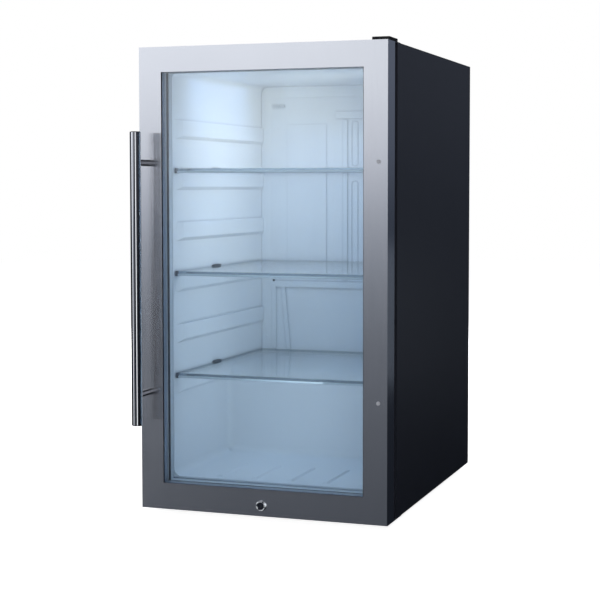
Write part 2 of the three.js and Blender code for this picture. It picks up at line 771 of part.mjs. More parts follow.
function buildKnob() {
  const { face, knobY, knobZ } = CONTROL;
  const disc = rodX(16, knobY, knobZ, [face - 6, face - GAP], 40);
  const grip = block([face - 14, face - 5], [knobY - 3.5, knobY + 3.5], [knobZ - 14, knobZ + 14]);
  const shaft = rodX(3, knobY, knobZ, [face - 1, face + 12], 24);
  addPart('thermostat_knob', join(disc, grip, shaft), paint.whitePlastic);
}

// The rocker stands tilted in its "on" place, so its upper end is the one pressed in.
function buildLightSwitch() {
  const rocker = new THREE.BoxGeometry(6, 12, 20);
  const mesh = addPart('light_switch', rocker, paint.darkPlastic);
  mesh.position.set(CONTROL.face + 1, CONTROL.knobY, CONTROL.switchZ);
  mesh.rotation.y = THREE.MathUtils.degToRad(8);
}

// ---- Refrigeration ----

const COMPRESSOR = { x: -50, y: 470 };

function buildCompressor() {
  const { x, y } = COMPRESSOR;
  const shell = [[0, 20], [70, 20], [76, 26], [76, 62], [79, 64], [79, 70], [76, 72], [76, 110],
    [68, 136], [50, 152], [26, 160], [0, 162]];
  const plate = block([x - 100, x + 100], [y - 66, y + 66], [19, 22]);
  const grommets = [];
  [-88, 88].forEach((dx) => {
    [-54, 54].forEach((dy) => grommets.push(rodZ(9, x + dx, y + dy, [FOAM.low, 26], 16)));
  });
  const relay = block([x + 70, x + 98], [y - 24, y + 24], [60, 112]);
  addPart('compressor', join(turnedZ(shell, x, y, 32), plate, relay, ...grommets), paint.blackPaint);
}

function buildDrainPan() {
  const { x, y } = COMPRESSOR;
  const tray = block([x - 85, x + 85], [y - 58, y + 58], [168, 196]);
  const hollow = block([x - 83, x + 83], [y - 56, y + 56], [170, 197]);
  addPart('drain_pan', cut(tray, hollow), paint.darkPlastic);
}

function buildCondenser() {
  const coilY = CABINET_BACK - 9;
  const tubes = serpentine({ halfSpan: 190, y: coilY, low: 262, pitch: 46, runs: 12, radius: 2.6 });
  const { x, y } = COMPRESSOR;
  const feed = new THREE.CatmullRomCurve3([
    new THREE.Vector3(-189, coilY, 262),
    new THREE.Vector3(-203, coilY, 252),
    new THREE.Vector3(-208, coilY, 225),
    new THREE.Vector3(-205, coilY, 170),
    new THREE.Vector3(-190, coilY - 20, 120),
    new THREE.Vector3(-165, y + 70, 90),
    new THREE.Vector3(x - 78.5, y, 84),
  ]);
  addPart('condenser_coil', join(tubes, pipe(feed, 2.6, 30)), paint.blackPaint);
}

function buildSupplyBox() {
  const lid = block([130, 190], [535, 578], [BASE + 2.4, 86]);
  addPart('junction_box', lid, paint.darkPlastic);
  const flange = rodY(13, 160, 56, [578.3, 582], 32);
  const sleeve = rodY(8, 160, 56, [581, 600], 32);
  const bore = rodY(4.2, 160, 56, [577, 601], 24);
  addPart('cord_gland', cut(join(flange, sleeve), bore), paint.blackRubber);
}

buildDoorFrame();
buildGlazing();
buildGasket();
buildHandle();
buildHolePlugs();
buildLock();
buildHinges();
buildHingeCover();
buildShell();
buildInsulation();
buildLiner();
buildBayBulkhead();
buildFeet();
Object.entries(SHELF_LEVELS).forEach(([place, level]) => buildShelf(place, level));
buildEvaporatorCover();
buildEvaporatorCoil();
buildFan();
buildControlBox();
buildKnob();
buildLightSwitch();
buildCompressor();
buildDrainPan();
buildCondenser();
buildSupplyBox();

export default cooler;
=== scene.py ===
"""Looks of the under-counter glass-door refrigerator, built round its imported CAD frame."""

import json
import math

import bmesh
import bpy
from mathutils import Matrix, Vector


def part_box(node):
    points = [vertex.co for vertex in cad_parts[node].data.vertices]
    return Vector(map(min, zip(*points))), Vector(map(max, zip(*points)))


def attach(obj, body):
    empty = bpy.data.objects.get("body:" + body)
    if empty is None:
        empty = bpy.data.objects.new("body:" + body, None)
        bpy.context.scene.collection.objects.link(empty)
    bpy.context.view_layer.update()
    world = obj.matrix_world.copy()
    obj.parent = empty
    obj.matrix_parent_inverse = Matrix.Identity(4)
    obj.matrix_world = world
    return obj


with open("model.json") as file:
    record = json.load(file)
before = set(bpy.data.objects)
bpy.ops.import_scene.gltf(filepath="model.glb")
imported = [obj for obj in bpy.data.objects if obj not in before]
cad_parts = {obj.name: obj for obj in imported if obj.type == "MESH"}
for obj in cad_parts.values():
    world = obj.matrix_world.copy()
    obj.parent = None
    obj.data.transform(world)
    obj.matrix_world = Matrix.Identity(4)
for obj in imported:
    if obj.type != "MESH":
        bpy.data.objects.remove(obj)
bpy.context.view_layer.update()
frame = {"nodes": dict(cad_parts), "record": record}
NODES = frame["nodes"]

MM = 0.001
WHITE = (1.0, 1.0, 1.0)
EVEN = (1, 1, 1)
SHARP_ANGLE = math.radians(40)
BEVEL_ANGLE = math.radians(35)
FLAT_ANGLE = math.radians(0.5)
BEVEL_SEGMENTS = 2


# ---------------------------------------------------------------- node helpers

def new_material(name):
    """An empty node material, its node tree and its output node."""
    material = bpy.data.materials.new(name)
    material.use_nodes = True
    tree = material.node_tree
    tree.nodes.clear()
    return material, tree, tree.nodes.new("ShaderNodeOutputMaterial")


def add_node(tree, kind, inputs=None, **settings):
    """Adds a node, sets its own properties, and sets or links its inputs."""
    node = tree.nodes.new(kind)
    for key, value in settings.items():
        setattr(node, key, value)
    for key, value in (inputs or {}).items():
        if isinstance(value, bpy.types.NodeSocket):
            tree.links.new(value, node.inputs[key])
        else:
            node.inputs[key].default_value = value
    return node


def object_noise(tree, stretch, scale, detail=3.0, roughness=0.55):
    """Noise in object space, stretched by a factor along each axis."""
    coordinates = add_node(tree, "ShaderNodeTexCoord")
    mapping = add_node(
        tree, "ShaderNodeMapping", {"Vector": coordinates.outputs["Object"], "Scale": stretch}
    )
    noise = add_node(
        tree,
        "ShaderNodeTexNoise",
        {"Vector": mapping.outputs[0], "Scale": scale, "Detail": detail, "Roughness": roughness},
    )
    return noise.outputs["Fac"]


def ramp(tree, factor, stops):
    """A colour ramp through (position, value or colour) stops."""
    node = add_node(tree, "ShaderNodeValToRGB", {"Fac": factor})
    elements = node.color_ramp.elements
    while len(elements) < len(stops):
        elements.new(0.5)
    for element, (position, value) in zip(elements, stops):
        colour = value if isinstance(value, tuple) else (value, value, value)
        element.position = position
        element.color = (*colour, 1.0)
    return node.outputs["Color"]


def multiply(tree, first, second):
    """The product of two colours, through the colour sockets of a mix node."""
    factor, colour_a, colour_b, result = 0, 6, 7, 2
    node = add_node(tree, "ShaderNodeMix", data_type="RGBA", blend_type="MULTIPLY")
    node.inputs[factor].default_value = 1.0
    tree.links.new(first, node.inputs[colour_a])
    tree.links.new(second, node.inputs[colour_b])
    return node.outputs[result]


def bump(tree, height, strength, depth):
    """The normal of a surface whose height varies, by a depth in metres."""
    node = add_node(
        tree, "ShaderNodeBump", {"Height": height, "Strength": strength, "Distance": depth}
    )
    return node.outputs["Normal"]


def shade(colour, factor):
    """A colour made darker by a factor."""
    return tuple(channel * factor for channel in colour)


# ------------------------------------------------------------------- materials

def brushed_metal(name, colour, stretch, roughness, grain=0.05, anisotropy=0.0):
    """Satin metal, whose long fine scratches vary its tone, roughness and height.

    Anisotropy spreads each highlight sideways, across upright scratches.
    """
    material, tree, output = new_material(name)
    scratches = object_noise(tree, stretch, scale=900.0, detail=4.0, roughness=0.65)
    clouds = object_noise(tree, EVEN, scale=5.0, detail=2.0)
    tone = ramp(tree, scratches, [(0.3, shade(colour, 0.95)), (0.7, colour)])
    handling = ramp(tree, clouds, [(0.35, 0.97), (0.65, 1.0)])
    surface = add_node(
        tree,
        "ShaderNodeBsdfPrincipled",
        {
            "Base Color": multiply(tree, tone, handling),
            "Metallic": 1.0,
            "Roughness": ramp(tree, scratches, [(0.3, roughness - grain), (0.7, roughness + grain)]),
            "Anisotropic": anisotropy,
            "Normal": bump(tree, scratches, 0.08, 0.03 * MM),
        },
    )
    if anisotropy:
        around = add_node(tree, "ShaderNodeTangent", direction_type="RADIAL", axis="Z")
        tree.links.new(around.outputs[0], surface.inputs["Tangent"])
    tree.links.new(surface.outputs[0], output.inputs["Surface"])
    return material


def paint_crease_shade(tree, tone, depth):
    """A tone with painted shade: darker, and a little bluer, in the creases of a moulding."""
    open_sky = add_node(tree, "ShaderNodeAmbientOcclusion", {"Distance": 7 * MM}, samples=8)
    deep = (depth * 0.93, depth, min(1.0, depth * 1.08))
    shadow = ramp(tree, open_sky.outputs["AO"], [(0.35, deep), (0.95, 1.0)])
    return multiply(tree, tone, shadow)


def coated(name, colour, roughness, speckle=900.0, relief=0.04 * MM, metallic=0.0, coat=0.0,
           drift=0.08, crease=1.0):
    """Paint or moulded plastic, with a fine surface texture and a slow drift of tone.

    A crease below 1 is how dark the painted shade gets in the creases of the moulding.
    """
    material, tree, output = new_material(name)
    texture = object_noise(tree, EVEN, scale=speckle)
    clouds = object_noise(tree, EVEN, scale=4.0, detail=2.0)
    tone = ramp(tree, clouds, [(0.3, shade(colour, 1.0 - drift)), (0.7, colour)])
    if crease < 1.0:
        tone = paint_crease_shade(tree, tone, crease)
    surface = add_node(
        tree,
        "ShaderNodeBsdfPrincipled",
        {
            "Base Color": tone,
            "Metallic": metallic,
            "Roughness": ramp(tree, texture, [(0.3, roughness - 0.04), (0.7, roughness + 0.05)]),
            "Coat Weight": coat,
            "Coat Roughness": 0.12,
            "Normal": bump(tree, texture, 0.25, relief),
        },
    )
    tree.links.new(surface.outputs[0], output.inputs["Surface"])
    return material


def polished_metal(name, colour, roughness):
    """Bright plated metal, with faint cloudy wear in its shine."""
    material, tree, output = new_material(name)
    wear = object_noise(tree, EVEN, scale=90.0, detail=4.0)
    surface = add_node(
        tree,
        "ShaderNodeBsdfPrincipled",
        {
            "Base Color": ramp(tree, wear, [(0.3, shade(colour, 0.92)), (0.7, colour)]),
            "Metallic": 1.0,
            "Roughness": ramp(tree, wear, [(0.3, roughness * 0.7), (0.7, roughness * 1.5)]),
        },
    )
    tree.links.new(surface.outputs[0], output.inputs["Surface"])
    return material


def pane_shader(tree, tint):
    """A clear pane: it lets light straight through, tinted, and mirrors more at low angles."""
    head_on_mirror, edge_mirror, steepness = 0.052, 0.9, 5.0
    wipe = object_noise(tree, (1, 1, 0.4), scale=7.0)
    through = add_node(
        tree,
        "ShaderNodeBsdfTransparent",
        {"Color": ramp(tree, wipe, [(0.3, shade(tint, 0.985)), (0.7, tint)])},
    )
    gloss = add_node(tree, "ShaderNodeBsdfGlossy", {"Roughness": 0.02, "Color": (*WHITE, 1.0)})
    facing = add_node(tree, "ShaderNodeLayerWeight", {"Blend": 0.5}).outputs["Facing"]
    rise = add_node(tree, "ShaderNodeMath", {0: facing, 1: steepness}, operation="POWER")
    mirror = add_node(
        tree,
        "ShaderNodeMath",
        {0: rise.outputs[0], 1: edge_mirror, 2: head_on_mirror},
        operation="MULTIPLY_ADD",
    )
    mixed = add_node(tree, "ShaderNodeMixShader", {
        0: mirror.outputs[0], 1: through.outputs[0], 2: gloss.outputs[0]})
    return mixed.outputs[0]


def edged_glass(name, tint, edge_colour, face_axis):
    """Plate glass whose two large faces are clear and whose ground edges look dense."""
    material, tree, output = new_material(name)
    clear = pane_shader(tree, tint)
    grind = object_noise(tree, EVEN, scale=500.0, detail=2.0)
    edge = add_node(
        tree,
        "ShaderNodeBsdfPrincipled",
        {
            "Base Color": ramp(tree, grind, [(0.3, shade(edge_colour, 0.8)), (0.7, edge_colour)]),
            "Roughness": 0.25,
        },
    )
    coordinates = add_node(tree, "ShaderNodeTexCoord")
    split = add_node(tree, "ShaderNodeSeparateXYZ", {0: coordinates.outputs["Normal"]})
    facing = add_node(
        tree, "ShaderNodeMath", {0: split.outputs[face_axis]}, operation="ABSOLUTE"
    )
    is_face = add_node(
        tree, "ShaderNodeMath", {0: facing.outputs[0], 1: 0.5}, operation="GREATER_THAN"
    )
    mixed = add_node(tree, "ShaderNodeMixShader", {
        0: is_face.outputs[0], 1: edge.outputs[0], 2: clear})
    tree.links.new(mixed.outputs[0], output.inputs["Surface"])
    return material


def glowing(name, colour, strength):
    """The lit face of the lamp, with a faint pattern of its diodes."""
    material, tree, output = new_material(name)
    cells = object_noise(tree, EVEN, scale=120.0, detail=1.0)
    tone = ramp(tree, cells, [(0.3, shade(colour, 0.9)), (0.7, colour)])
    light = add_node(tree, "ShaderNodeEmission", {"Color": tone, "Strength": strength})
    tree.links.new(light.outputs[0], output.inputs["Surface"])
    return material


def make_materials():
    """Every finish of the refrigerator, by the record's material slot or by its own name."""
    upright = (1.0, 1.0, 0.012)
    along_y = (1.0, 0.1, 1.0)
    skin_steel = (0.62, 0.635, 0.675)
    bar_steel = (0.42, 0.43, 0.46)
    plated = (0.42, 0.43, 0.45)
    return {
        "stainless_skin": brushed_metal("brushed_skin", skin_steel, upright, 0.2, 0.03, 0.75),
        "stainless_handle": brushed_metal("brushed_bar", bar_steel, upright, 0.08, 0.01),
        "aluminium": brushed_metal("aluminium", (0.55, 0.58, 0.62), EVEN, 0.38),
        "plated_steel": brushed_metal("plated_steel", plated, along_y, 0.42),
        "chrome_trim": polished_metal("chrome_trim", (0.80, 0.83, 0.86), 0.12),
        "dark_chrome": polished_metal("dark_chrome", (0.10, 0.11, 0.14), 0.15),
        # The handle posts: the bar's steel darkened to paint the dark reflections they show.
        "post_steel_painted_dark": polished_metal("post_steel_painted_dark", (0.12, 0.125, 0.145), 0.2),
        "shelf_trim": coated("shelf_trim", (0.60, 0.68, 0.73), 0.22, speckle=600.0,
                             relief=0.01 * MM, metallic=0.9),
        "black_paint": coated("black_paint", (0.0135, 0.015, 0.023), 0.36, speckle=1100.0,
                              relief=0.03 * MM),
        "dark_plastic": coated("dark_plastic", (0.010, 0.011, 0.015), 0.5, speckle=1400.0,
                               relief=0.05 * MM),
        "matt_black": coated("matt_black", (0.004, 0.004, 0.006), 0.65),
        "cap_grey": coated("cap_grey", (0.045, 0.06, 0.085), 0.5),
        "clip_grey": coated("clip_grey", (0.035, 0.045, 0.06), 0.45),
        "plug_grey": coated("plug_grey", (0.34, 0.35, 0.38), 0.35),
        "spacer_grey": coated("spacer_grey", (0.22, 0.275, 0.36), 0.4, speckle=300.0,
                              relief=0.02 * MM, metallic=0.3),
        "frame_grey": coated("frame_grey", (0.60, 0.65, 0.70), 0.45),
        # The liner's creases get painted shade, by ambient occlusion.
        "white_plastic": coated("white_plastic", (0.82, 0.85, 0.885), 0.32, speckle=700.0,
                                relief=0.02 * MM, coat=0.2, drift=0.03, crease=0.62),
        "white_flange": coated("white_flange", (0.86, 0.89, 0.92), 0.4),
        # A pale tone that paints the highlight along each shelf trim's bead.
        "painted_highlight_strip": coated("painted_highlight_strip", (0.64, 0.72, 0.77), 0.3),
        # Dark rubber of the beads and lips, made darker still to paint the shade in the gap round
        # the door.
        "seal_rubber": coated("seal_rubber", (0.003, 0.003, 0.005), 0.9, relief=0.05 * MM),
        "door_seal": coated("door_seal", (0.48, 0.52, 0.57), 0.6),
        "foam": coated("foam", (0.72, 0.60, 0.33), 0.85, speckle=260.0, relief=0.4 * MM,
                       drift=0.2),
        "nylon": coated("nylon", (0.72, 0.70, 0.64), 0.45),
        "door_glass": edged_glass("door_glass", (0.942, 0.973, 0.994), (0.05, 0.09, 0.12), "Y"),
        "shelf_glass": edged_glass("shelf_glass", (0.97, 0.985, 0.985), (0.05, 0.10, 0.11), "Z"),
        "lamp_glow": glowing("lamp_glow", (0.86, 0.94, 1.0), 3.0),
    }


# CAD nodes whose finish differs from the rest of their slot, by the start of the node's name.
OWN_FINISH = {
    "shelf_trim": "shelf_trim",
    "lamp_lens": "lamp_glow",
    "lock_plug": "dark_chrome",
    "handle_post": "post_steel_painted_dark",
    "hole_plug": "plug_grey",
    "shelf_clip": "clip_grey",
    "hinge_cover": "matt_black",
}


def dress_cad_nodes(materials):
    """Gives each CAD node its own finish, or else that of its slot in the record."""
    for row in frame["record"]["subparts"]:
        finish = row["material_slot"]
        for prefix, own in OWN_FINISH.items():
            if row["node"].startswith(prefix):
                finish = own
        node = NODES[row["node"]]
        node.data.materials.clear()
        node.data.materials.append(materials[finish])


def bevel_edges(piece, width):
    """Rounds the sharp edges of a piece, and returns the modifier that does it."""
    rounding = piece.modifiers.new("rounded_edges", "BEVEL")
    rounding.width = width
    rounding.segments = BEVEL_SEGMENTS
    rounding.limit_method = "ANGLE"
    return rounding


def soften_edges(name, width):
    """Rounds a CAD node's sharp edges, after merging the triangles of each flat face."""
    node = NODES[name]
    flat = node.modifiers.new("flat_faces", "DECIMATE")
    flat.decimate_type = "DISSOLVE"
    flat.angle_limit = FLAT_ANGLE
    bevel_edges(node, width).angle_limit = BEVEL_ANGLE


def smooth_by_angle(mesh):
    """Shades a mesh's curved sides smooth and keeps its corners sharp."""
    for face in mesh.polygons:
        face.use_smooth = True
    for edge in mesh.edges:
        edge.use_edge_sharp = False
    mesh.set_sharp_from_angle(angle=SHARP_ANGLE)


# ---------------------------------------------------------------------- pieces

def piece_from(mesh_data, name, body, material, bevel=0.0):
    """Makes a piece of a bmesh, rides it on its body and gives it its finish."""
    mesh = bpy.data.meshes.new(name)
    bmesh.ops.recalc_face_normals(mesh_data, faces=mesh_data.faces)
    mesh_data.to_mesh(mesh)
    mesh_data.free()
    piece = bpy.data.objects.new(name, mesh)
    bpy.context.scene.collection.objects.link(piece)
    mesh.materials.append(material)
    smooth_by_angle(mesh)
    if bevel:
        bevel_edges(piece, bevel)
    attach(piece, body)
    return piece


def add_box(mesh_data, low, high):
    """A box between two corners."""
    low, high = Vector(low), Vector(high)
    size = high - low
    place = Matrix.Translation((low + high) / 2) @ Matrix.Diagonal((*size, 1.0))
    bmesh.ops.create_cube(mesh_data, size=1.0, matrix=place)


def add_rod(mesh_data, start, end, radius, sides, end_radius=None):
    """A capped rod or cone between two points."""
    start, end = Vector(start), Vector(end)
    along = end - start
    turn = along.to_track_quat("Z", "Y").to_matrix().to_4x4()
    place = Matrix.Translation((start + end) / 2) @ turn
    bmesh.ops.create_cone(
        mesh_data, cap_ends=True, segments=sides, radius1=radius,
        radius2=radius if end_radius is None else end_radius, depth=along.length, matrix=place,
    )


def join_loops(mesh_data, first, second):
    """A band of faces between two closed loops of as many points."""
    for index in range(len(first)):
        following = (index + 1) % len(first)
        mesh_data.faces.new((first[index], first[following], second[following], second[index]))


def close_ring(mesh_data, loops):
    """A closed ring: each loop is joined to the next one, and the last to the first."""
    for first, second in zip(loops, loops[1:] + loops[:1]):
        join_loops(mesh_data, first, second)


def square_loop(mesh_data, edges, y):
    """The corner points of an upright rectangle (left, right, bottom, top) at depth y."""
    left, right, bottom, top = edges
    points = [(left, bottom), (right, bottom), (right, top), (left, top)]
    return [mesh_data.verts.new((x, y, z)) for x, z in points]


def rounded_loop(mesh_data, edges, radius, y):
    """The points of an upright rectangle with round corners, at depth y."""
    left, right, bottom, top = edges
    centres = (
        (right - radius, top - radius, 0), (left + radius, top - radius, 90),
        (left + radius, bottom + radius, 180), (right - radius, bottom + radius, 270),
    )
    loop = []
    for x, z, start in centres:
        for turn in spread(start, start + 90, 7):
            angle = math.radians(turn)
            point = (x + radius * math.cos(angle), y, z + radius * math.sin(angle))
            loop.append(mesh_data.verts.new(point))
    return loop


def add_frame(mesh_data, outer, inner, y0, y1):
    """An upright rectangular ring between two outlines."""
    close_ring(mesh_data, [square_loop(mesh_data, edges, y) for edges, y in (
        (outer, y0), (inner, y0), (inner, y1), (outer, y1))])


def add_flange(mesh_data, outer, inner, y0, y1):
    """A flat ring with round corners between two (edges, radius) outlines."""
    close_ring(mesh_data, [rounded_loop(mesh_data, *outline, y) for outline, y in (
        (outer, y0), (inner, y0), (inner, y1), (outer, y1))])


def front_edges(name):
    """The (left, right, bottom, top) of a node, seen from the front."""
    low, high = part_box(name)
    return low.x, high.x, low.z, high.z


def grown(edges, reach):
    """Edges moved outwards by a reach, or inwards by a negative one."""
    left, right, bottom, top = edges
    return left - reach, right + reach, bottom - reach, top + reach


def spread(start, end, count):
    """Evenly spaced values from start to end."""
    return [start + (end - start) * index / (count - 1) for index in range(count)]


# --------------------------------------------------------- fittings and screws

def add_screw(mesh_data, seat, axis, radius, height):
    """A low domed screw head standing on its seat along an axis, with a cross on its crown."""
    axis = Vector(axis)
    seat = Vector(seat)
    sides = 20
    rim = seat + axis * height * 0.45
    crown = seat + axis * height
    add_rod(mesh_data, seat, rim, radius, sides)
    add_rod(mesh_data, rim, crown, radius, sides, radius * 0.62)
    across = axis.orthogonal().normalized() * radius * 0.5
    for blade in (across, axis.cross(across)):
        side = blade.normalized().cross(axis) * radius * 0.1
        corners = [sum(steps, crown) for steps in (
            (-blade, -side), (blade, -side), (blade, side), (-blade, side))]
        low = [mesh_data.verts.new(point + axis * 0.1 * MM) for point in corners]
        high = [mesh_data.verts.new(point + axis * 0.25 * MM) for point in corners]
        mesh_data.faces.new(low[::-1])
        mesh_data.faces.new(high)
        join_loops(mesh_data, low, high)


def make_screws(name, seats, axis, radius, height, body, material):
    """One piece holding a row of alike screws."""
    mesh_data = bmesh.new()
    for seat in seats:
        add_screw(mesh_data, seat, axis, radius, height)
    return piece_from(mesh_data, name, body, material)


def screw_back_panel(materials):
    """Screws round the edge of the back panel."""
    low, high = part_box("back_panel")
    inset = 11 * MM
    columns = spread(low.x + inset, high.x - inset, 4)
    rows = spread(low.z + inset, high.z - inset, 5)
    seats = [(x, high.y, z) for x in (columns[0], columns[-1]) for z in rows]
    seats += [(x, high.y, z) for x in columns[1:-1] for z in (rows[0], rows[-1])]
    make_screws("back_panel_screws", seats, (0, 1, 0), 3.6 * MM, 2.2 * MM,
                "cabinet", materials["plated_steel"])


def screw_evaporator_cover(materials):
    """White-headed screws that hold the evaporator cover to the back wall."""
    low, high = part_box("evaporator_cover")
    inset = 8 * MM
    seats = [(x, low.y, z) for x in (low.x + inset, high.x - inset)
             for z in (low.z + 4 * inset, high.z - 6 * inset)]
    make_screws("evaporator_cover_screws", seats, (0, -1, 0), 2.8 * MM, 1.2 * MM,
                "cabinet", materials["white_plastic"])


def screw_bottom_hinge(materials):
    """Screws up through the bottom hinge plate into the base."""
    low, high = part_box("bottom_hinge")
    middle = (low.x + high.x) / 2
    seats = [(middle, y, low.z) for y in spread(high.y - 30 * MM, high.y - 8 * MM, 2)]
    make_screws("bottom_hinge_screws", seats, (0, 0, -1), 3.2 * MM, 1.6 * MM,
                "cabinet", materials["plated_steel"])


# ------------------------------------------------------------- inside fittings

def cap_shelf_trim(level, materials):
    """Dark end caps on the front trim of a shelf."""
    low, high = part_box(f"shelf_trim_{level}")
    proud = 0.6 * MM
    length = 5 * MM
    mesh_data = bmesh.new()
    for x0, x1 in ((low.x, low.x + length), (high.x - length, high.x)):
        add_box(mesh_data, (x0, low.y - proud, low.z - proud), (x1, low.y + 9 * MM, high.z + proud))
    piece_from(mesh_data, f"shelf_caps_{level}", f"{level}_shelf",
               materials["cap_grey"], bevel=0.9 * MM)


def paint_trim_highlight(level, materials):
    """A pale strip along the front of the trim's bead: a painted highlight."""
    low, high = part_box(f"shelf_trim_{level}")
    inset = 5.2 * MM  # clears the end caps
    strip = bmesh.new()
    add_box(strip, (low.x + inset, low.y - 0.25 * MM, low.z + 0.5 * MM),
            (high.x - inset, low.y + 1.2 * MM, low.z + 3.9 * MM))
    piece_from(strip, f"shelf_strip_{level}", f"{level}_shelf",
               materials["painted_highlight_strip"], bevel=0.5 * MM)


def add_temperature_sensor(materials):
    """The small grey sensor clip high on the evaporator cover, and a dark screw lower down."""
    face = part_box("evaporator_cover")[0].y
    x, z = -160 * MM, 782 * MM
    lone_screw = (-171 * MM, face, 406 * MM)
    clip = bmesh.new()
    for half, height, y0, y1 in ((14, 3.5, 0.5, 4.5), (4, 2, -2.0, 1.0)):
        add_box(clip, (x - half * MM, face + y0 * MM, z - height * MM),
                (x + half * MM, face + y1 * MM, z + height * MM))
    piece_from(clip, "sensor_clip", "cabinet", materials["frame_grey"],
               bevel=0.9 * MM)
    make_screws("cover_screw", [lone_screw], (0, -1, 0), 2.4 * MM, 1.2 * MM,
                "cabinet", materials["dark_plastic"])


def edge_room_mouth(materials):
    """The rounded white edge that closes the corners between the liner and the face frame."""
    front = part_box("liner")[0].y
    wall = 1.5 * MM
    mouth = grown(front_edges("liner"), -wall)
    outer = (grown(mouth, 1.9 * MM), 0.5 * MM)
    inner = (grown(mouth, -0.3 * MM), 14 * MM)
    ring = bmesh.new()
    add_flange(ring, outer, inner, front - 0.2 * MM, front + 1.2 * MM)
    piece_from(ring, "liner_edge", "cabinet", materials["white_flange"])


def seal_evaporator_cover(materials):
    """The white flange that closes the gap between the evaporator cover and the walls."""
    low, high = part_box("evaporator_cover")
    room_low, room_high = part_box("liner")
    flare, wall = 17 * MM, 1.8 * MM
    face = (low.x + flare, high.x - flare, low.z, high.z - flare)
    room = (room_low.x + wall, room_high.x - wall, low.z - 11 * MM, room_high.z - wall)
    flange = bmesh.new()
    add_flange(flange, (room, 15 * MM), (face, 9 * MM), low.y + 3.8 * MM, low.y + 5.0 * MM)
    piece_from(flange, "evaporator_cover_flange", "cabinet",
               materials["white_flange"])


def mark_thermostat(materials):
    """Raised ticks round the thermostat knob and a pointer on the knob itself."""
    knob_low, knob_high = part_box("thermostat_knob")
    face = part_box("control_box")[0].x
    centre = (knob_low + knob_high) / 2
    radius = (knob_high.z - knob_low.z) / 2
    ticks = bmesh.new()
    for degrees in range(-135, 136, 30):
        angle = math.radians(degrees)
        outward = Vector((0, math.sin(angle), math.cos(angle)))
        inner = centre + outward * (radius + 2 * MM)
        outer = centre + outward * (radius + 5 * MM)
        inner.x = outer.x = face - 0.1 * MM
        add_rod(ticks, inner, outer, 0.5 * MM, 8)
    piece_from(ticks, "thermostat_ticks", "cabinet", materials["dark_plastic"])
    pointer = bmesh.new()
    add_box(pointer, (knob_low.x - 0.4 * MM, centre.y - 0.7 * MM, centre.z + radius * 0.3),
            (knob_low.x + 0.2 * MM, centre.y + 0.7 * MM, centre.z + radius * 0.9))
    piece_from(pointer, "thermostat_pointer", "thermostat",
               materials["dark_plastic"])


# --------------------------------------------------------------- door fittings

def add_glazing_beads(materials):
    """Dark beads that seal the outer pane to the skin and the inner pane to the frame."""
    pane_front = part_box("outer_glass")[0].y
    pane_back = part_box("inner_glass")[1].y
    window = grown(front_edges("outer_glass"), -10 * MM)
    left, right, bottom, top = window
    for name, depth, width, height in (
        ("outer_bead", (pane_front - 1.2 * MM, pane_front - 0.1 * MM), 1.0 * MM, 0.2 * MM),
        ("inner_bead", (pane_back + 0.1 * MM, pane_back + 4.5 * MM), 2.3 * MM, 0.1 * MM),
    ):
        inside = (left + width, right - width, bottom + height, top - height)
        ring = bmesh.new()
        add_frame(ring, window, inside, *depth)
        piece_from(ring, name, "door", materials["seal_rubber"])


def add_gap_shade_lip(materials):
    """A dark lip round the door seal, open where the lock's cam turns; it paints the shade in the
    gap between door and cabinet.
    """
    low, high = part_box("door_gasket")
    gap = 0.2 * MM
    inner = grown(front_edges("door_gasket"), gap)
    outer = grown(front_edges("door_gasket"), 0.8 * MM)
    lock_half = 26 * MM  # half the opening for the cam
    lip = bmesh.new()
    for (x0, z0), (x1, z1) in (
        ((outer[0], outer[2]), (inner[0], outer[3])),
        ((inner[1], outer[2]), (outer[1], outer[3])),
        ((inner[0], inner[3]), (inner[1], outer[3])),
        ((inner[0], outer[2]), (-lock_half, inner[2])),
        ((lock_half, outer[2]), (inner[1], inner[2])),
    ):
        add_box(lip, (x0, low.y + gap, z0), (x1, high.y - gap, z1))
    piece_from(lip, "seal_lip_gap_shade", "door", materials["seal_rubber"])


def add_inner_lip(materials):
    """The pale lip of the door seal, over the mouth of the liner."""
    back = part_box("door_gasket")[1].y
    outer = grown(front_edges("liner"), 2.2 * MM)
    inner = grown(front_edges("liner"), -1.3 * MM)
    lip = bmesh.new()
    add_frame(lip, outer, inner, back - 8 * MM, back - 0.1 * MM)
    piece_from(lip, "seal_inner_lip", "door", materials["door_seal"])


def add_keyhole_shade(materials):
    """A dark slab over the key slot on the front of the lock plug, painting the shade inside the
    slot.
    """
    low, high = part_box("lock_plug")
    centre = (low + high) / 2
    slot = bmesh.new()
    add_box(slot, (centre.x - 0.7 * MM, low.y - 0.15 * MM, centre.z - 3.0 * MM),
            (centre.x + 0.7 * MM, low.y + 0.3 * MM, centre.z + 3.0 * MM))
    piece_from(slot, "keyhole", "lock_cylinder", materials["dark_plastic"])


def add_lock_bezel(materials):
    """The rounded chrome ring round the lock."""
    low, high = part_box("lock_housing")
    centre = (low + high) / 2
    turns, sides = 48, 12
    ring_radius, tube = 7.9 * MM, 1.5 * MM
    bezel = bmesh.new()
    loops = []
    for turn in range(turns):
        around = 2 * math.pi * turn / turns
        outward = Vector((math.cos(around), 0, math.sin(around)))
        middle = Vector((centre.x, low.y - 0.2 * MM, centre.z)) + outward * ring_radius
        loop = []
        for side in range(sides):
            angle = 2 * math.pi * side / sides
            offset = outward * math.cos(angle) - Vector((0, math.sin(angle), 0))
            loop.append(bezel.verts.new(middle + offset * tube))
        loops.append(loop)
    close_ring(bezel, loops)
    piece_from(bezel, "lock_bezel", "door", materials["chrome_trim"])


# ------------------------------------------------------------------ machinery

